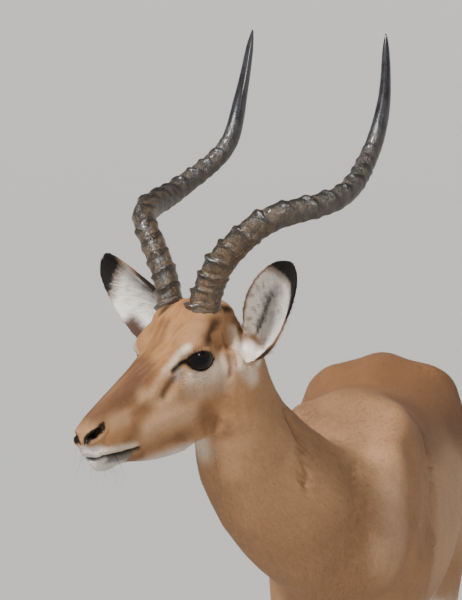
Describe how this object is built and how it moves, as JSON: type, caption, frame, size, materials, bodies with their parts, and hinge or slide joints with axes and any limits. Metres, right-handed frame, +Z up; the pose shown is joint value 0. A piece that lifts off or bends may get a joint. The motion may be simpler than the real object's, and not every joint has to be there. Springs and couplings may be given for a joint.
{
  "type": "impala antelope",
  "caption": "Life-size adult impala ram standing still, head turned to its right, with ringed lyre-shaped horns",
  "frame": {"origin": "bottom centre of the model's box, on the floor under the belly", "axes": "+Z up, the body faces -Y, its left side is +X; the head is turned to the animal's right"},
  "size_m": [0.4482, 1.2144, 1.3631],
  "materials": {
    "rufous_coat": "short flat hair, red brown",
    "tan_coat": "short flat hair, pale tan",
    "white_coat": "soft white hair",
    "horn": "ringed horn, smoother to the tip",
    "eye": "wet dark eye",
    "hoof": "dark hoof"
  },
  "bodies": {
    "root": {"head": "rufous_coat", "neck": "rufous_coat", "trunk": "rufous_coat", "foreleg_left": "tan_coat", "foreleg_right": "tan_coat", "hindleg_left": "tan_coat", "hindleg_right": "tan_coat", "tail": "white_coat", "ear_left": "white_coat", "ear_right": "white_coat", "horn_left": "horn", "horn_right": "horn", "eye_left": "eye", "eye_right": "eye", "hoof_fore_left_outer": "hoof", "hoof_fore_left_inner": "hoof", "hoof_fore_right_outer": "hoof", "hoof_fore_right_inner": "hoof", "hoof_hind_left_outer": "hoof", "hoof_hind_left_inner": "hoof", "hoof_hind_right_outer": "hoof", "hoof_hind_right_inner": "hoof"}
  },
  "joints": []
}
